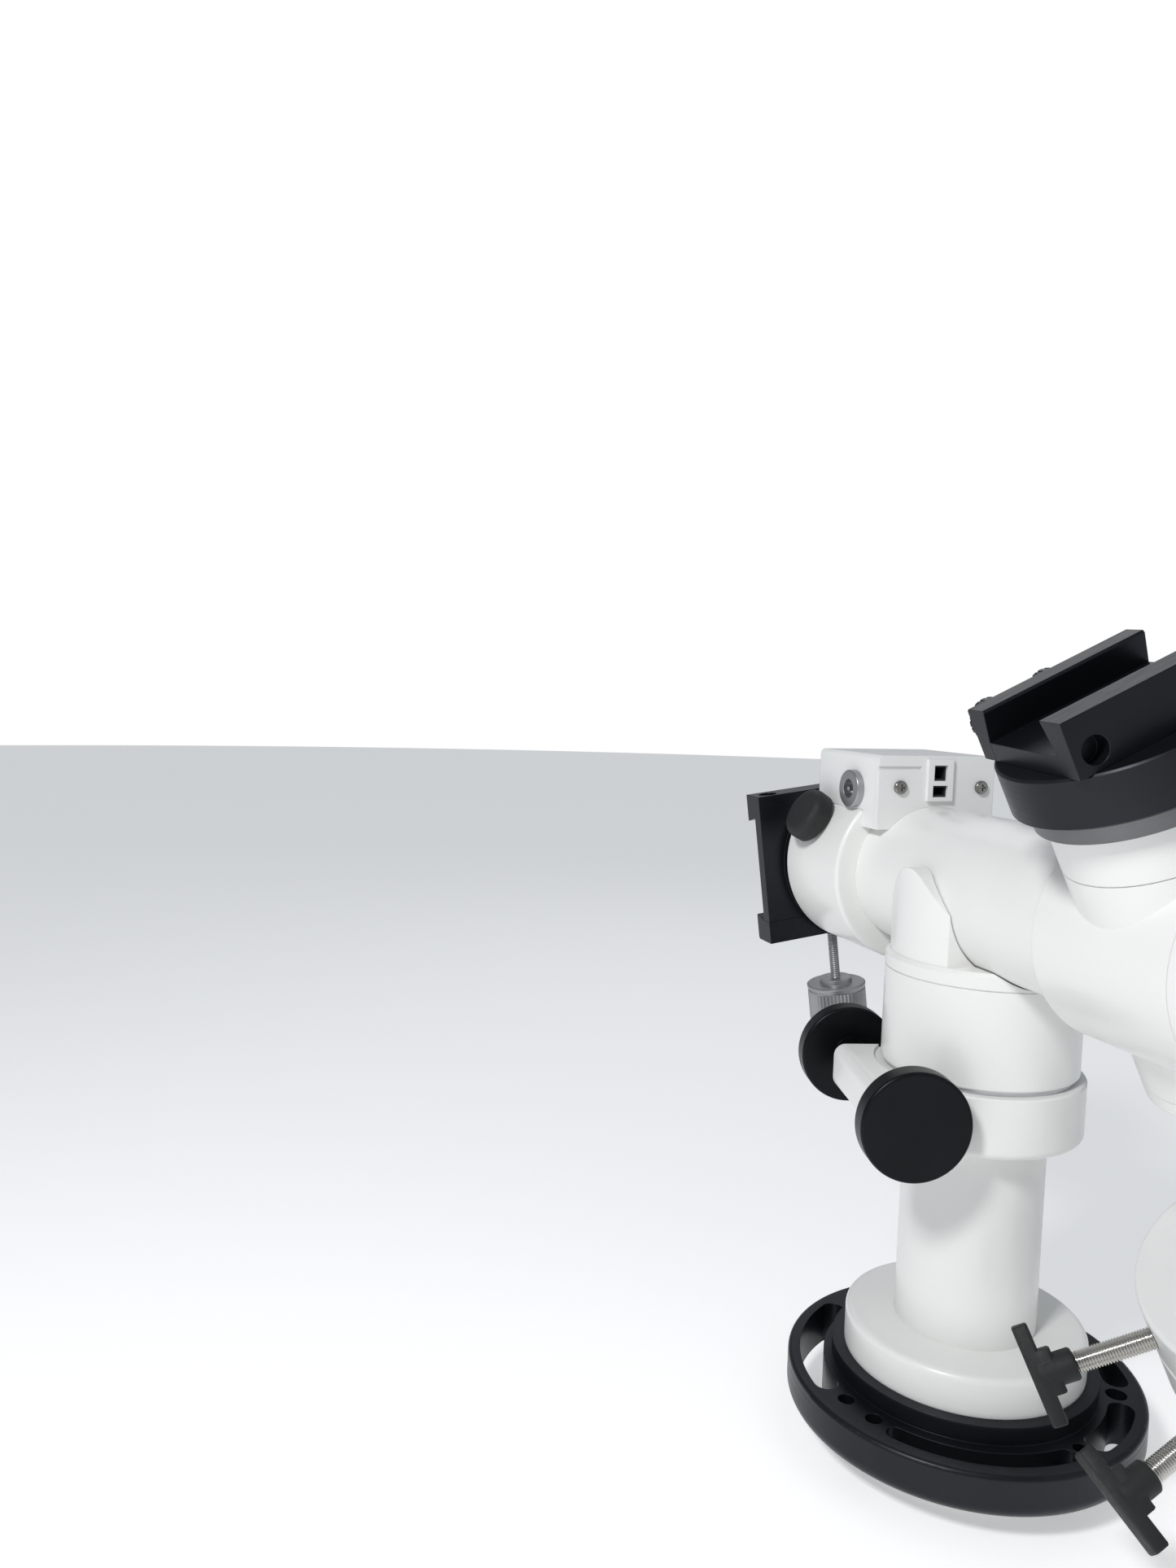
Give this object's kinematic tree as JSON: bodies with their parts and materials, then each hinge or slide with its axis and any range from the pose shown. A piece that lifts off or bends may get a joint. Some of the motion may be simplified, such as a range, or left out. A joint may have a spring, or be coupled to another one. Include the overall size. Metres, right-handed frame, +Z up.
{
  "type": "equatorial mount",
  "caption": "Tubular equatorial telescope mount on a flanged pillar with slotted pier plate, polar and declination axes, dovetail saddles and counterweights.",
  "frame": {"origin": "centre of the pier plate's lower face, on the azimuth axis", "axes": "+Z up along the azimuth axis; +X along the level polar axis, towards the declination barrel; the upper end of the declination axis leans towards -Y"},
  "size_m": [0.3461, 0.2396, 0.3974],
  "materials": {
    "white_paint": "semi-gloss powder coat",
    "black_anodised": "satin black anodised",
    "grey_anodised": "satin machined",
    "clear_aluminium": "machined",
    "stainless": "turned and threaded",
    "dark_steel": "black oxide",
    "bearing_steel": "ground",
    "bronze": "machined",
    "black_plastic": "fine moulded grain",
    "white_plastic": "smooth moulded",
    "belt_rubber": "moulded",
    "cast_weight": "semi-gloss powder coat"
  },
  "bodies": {
    "base": {"pier_plate": "black_anodised", "pillar": "white_paint", "pillar_bolts": "dark_steel", "azimuth_bearings": "dark_steel"},
    "azimuth_head": {"azimuth_fork": "white_paint", "azimuth_spindle": "dark_steel", "spindle_nut": "dark_steel", "azimuth_peg": "stainless", "latitude_pivots": "stainless"},
    "azimuth_screw_front": {"azimuth_rod_front": "stainless"},
    "azimuth_knob_front": {"azimuth_knob_front": "black_anodised"},
    "azimuth_screw_rear": {"azimuth_rod_rear": "stainless"},
    "azimuth_knob_rear": {"azimuth_knob_rear": "black_anodised"},
    "latitude_lock": {"latitude_lock": "black_plastic"},
    "ra_housing": {"ra_housing": "white_paint", "ra_drive_case": "white_paint", "ra_bearings": "bearing_steel", "ra_motor": "clear_aluminium", "ra_belt": "belt_rubber", "ra_worm_bracket": "clear_aluminium", "control_box": "white_plastic", "control_panel": "white_plastic", "control_sockets": "black_plastic", "panel_screws": "stainless", "power_socket": "grey_anodised"},
    "ra_worm": {"ra_worm": "bronze"},
    "ra_clutch": {"ra_clutch_knob": "black_plastic"},
    "ra_axis": {"ra_shaft": "dark_steel", "ra_shaft_nut": "dark_steel", "ra_worm_wheel": "bronze", "rear_saddle_base": "black_anodised", "dec_housing": "white_paint", "dec_end_cap": "white_paint", "dec_cap_screws": "stainless", "dec_bearings": "bearing_steel", "dec_motor": "clear_aluminium", "dec_belt": "belt_rubber", "dec_worm_bracket": "clear_aluminium", "counterweight_adapter": "white_paint", "counterweight_shaft": "stainless", "toe_saver": "stainless"},
    "rear_jaw": {"rear_saddle_jaw": "black_anodised"},
    "rear_knob": {"rear_saddle_knob": "grey_anodised"},
    "dec_worm": {"dec_worm": "bronze"},
    "dec_axis": {"dec_shaft": "dark_steel", "dec_worm_wheel": "bronze", "neck_cover": "white_paint", "setting_ring": "grey_anodised", "saddle_disc": "black_anodised", "disc_screws": "dark_steel", "saddle_base": "black_anodised"},
    "saddle_jaw": {"saddle_jaw": "black_anodised"},
    "saddle_knob_1": {"saddle_knob_1": "black_anodised"},
    "saddle_knob_2": {"saddle_knob_2": "black_anodised"},
    "counterweight_1": {"counterweight_1": "cast_weight"},
    "t_bolt_1": {"t_bolt_1": "stainless", "t_handle_1": "black_plastic"},
    "counterweight_2": {"counterweight_2": "cast_weight"},
    "t_bolt_2": {"t_bolt_2": "stainless", "t_handle_2": "black_plastic"}
  },
  "joints": [
    {"name": "azimuth", "type": "hinge", "parent": "base", "child": "azimuth_head", "pos_m": [0, 0, 0.1777], "axis": [0, 0, 1], "range_deg": [-3.5, 3.5]},
    {"name": "azimuth_screw_front_slide", "type": "slide", "parent": "base", "child": "azimuth_screw_front", "axis": [0.9728, -0.2317, 0], "range_m": [-0.00307, 0.00307]},
    {"name": "azimuth_knob_front_turn", "type": "hinge", "parent": "azimuth_screw_front", "child": "azimuth_knob_front", "pos_m": [-0.01159, -0.04864, 0.1656], "axis": [0.9728, -0.2317, 0], "range_deg": [-720, 720]},
    {"name": "azimuth_screw_rear_slide", "type": "slide", "parent": "base", "child": "azimuth_screw_rear", "axis": [0.9728, -0.2317, 0], "range_m": [-0.00307, 0.00307]},
    {"name": "azimuth_knob_rear_turn", "type": "hinge", "parent": "azimuth_screw_rear", "child": "azimuth_knob_rear", "pos_m": [-0.01159, -0.04864, 0.1656], "axis": [0.9728, -0.2317, 0], "range_deg": [-720, 720]},
    {"name": "latitude", "type": "hinge", "parent": "azimuth_head", "child": "ra_housing", "pos_m": [0, 0, 0.262], "axis": [0, -1, 0], "range_deg": [0, 14]},
    {"name": "latitude_lock_turn", "type": "hinge", "parent": "azimuth_head", "child": "latitude_lock", "pos_m": [0, 0.05, 0.262], "axis": [0, 1, 0], "range_deg": [-30, 30]},
    {"name": "right_ascension", "type": "hinge", "parent": "ra_housing", "child": "ra_axis", "pos_m": [0, 0, 0.262], "axis": [1, 0, 0], "continuous": true},
    {"name": "ra_worm_turn", "type": "hinge", "parent": "ra_housing", "child": "ra_worm", "pos_m": [-0.099, 0, 0.2287], "axis": [0, 1, 0], "continuous": true},
    {"name": "ra_clutch_turn", "type": "hinge", "parent": "ra_housing", "child": "ra_clutch", "pos_m": [-0.097, -0.0433, 0.287], "axis": [0, -0.866, 0.5], "range_deg": [-180, 180]},
    {"name": "rear_jaw_slide", "type": "slide", "parent": "ra_axis", "child": "rear_jaw", "axis": [0, 0.1392, -0.9903], "range_m": [0, 0.008]},
    {"name": "rear_knob_turn", "type": "hinge", "parent": "rear_jaw", "child": "rear_knob", "pos_m": [-0.1275, -0.01046, 0.19994], "axis": [0, -0.1392, 0.9903], "range_deg": [-720, 720]},
    {"name": "declination", "type": "hinge", "parent": "ra_axis", "child": "dec_axis", "pos_m": [0.1286, 0, 0.262], "axis": [0, -0.4586, 0.8886], "continuous": true},
    {"name": "dec_worm_turn", "type": "hinge", "parent": "ra_axis", "child": "dec_worm", "pos_m": [0.1619, -0.00229, 0.26644], "axis": [0, -0.8886, -0.4586], "continuous": true},
    {"name": "saddle_jaw_slide", "type": "slide", "parent": "dec_axis", "child": "saddle_jaw", "axis": [-0.9925, 0.1083, 0.0559], "range_m": [0, 0.006]},
    {"name": "saddle_knob_1_turn", "type": "hinge", "parent": "saddle_jaw", "child": "saddle_knob_1", "pos_m": [0.0906, -0.02928, 0.35965], "axis": [0.9925, -0.1083, -0.0559], "range_deg": [-720, 720]},
    {"name": "saddle_knob_2_turn", "type": "hinge", "parent": "saddle_jaw", "child": "saddle_knob_2", "pos_m": [0.08719, -0.05397, 0.3469], "axis": [0.9925, -0.1083, -0.0559], "range_deg": [-720, 720]},
    {"name": "counterweight_1_slide", "type": "slide", "parent": "ra_axis", "child": "counterweight_1", "axis": [0, -0.4586, 0.8886], "range_m": [0, 0.06]},
    {"name": "t_bolt_1_turn", "type": "hinge", "parent": "counterweight_1", "child": "t_bolt_1", "pos_m": [0.1286, 0.07396, 0.11871], "axis": [-0.3795, -0.8222, -0.4243], "range_deg": [-720, 720]},
    {"name": "counterweight_2_slide", "type": "slide", "parent": "ra_axis", "child": "counterweight_2", "axis": [0, -0.4586, 0.8886], "range_m": [-0.07, 0]},
    {"name": "t_bolt_2_turn", "type": "hinge", "parent": "counterweight_2", "child": "t_bolt_2", "pos_m": [0.1286, 0.08396, 0.09934], "axis": [0.0262, -0.8883, -0.4585], "range_deg": [-720, 720]}
  ],
  "couplings": [
    {"joint": "azimuth_screw_front_slide", "follows": "azimuth", "m_per_rad": 0.05},
    {"joint": "azimuth_screw_rear_slide", "follows": "azimuth", "m_per_rad": 0.05},
    {"joint": "ra_worm_turn", "follows": "right_ascension", "ratio": 54},
    {"joint": "dec_worm_turn", "follows": "declination", "ratio": 54}
  ]
}
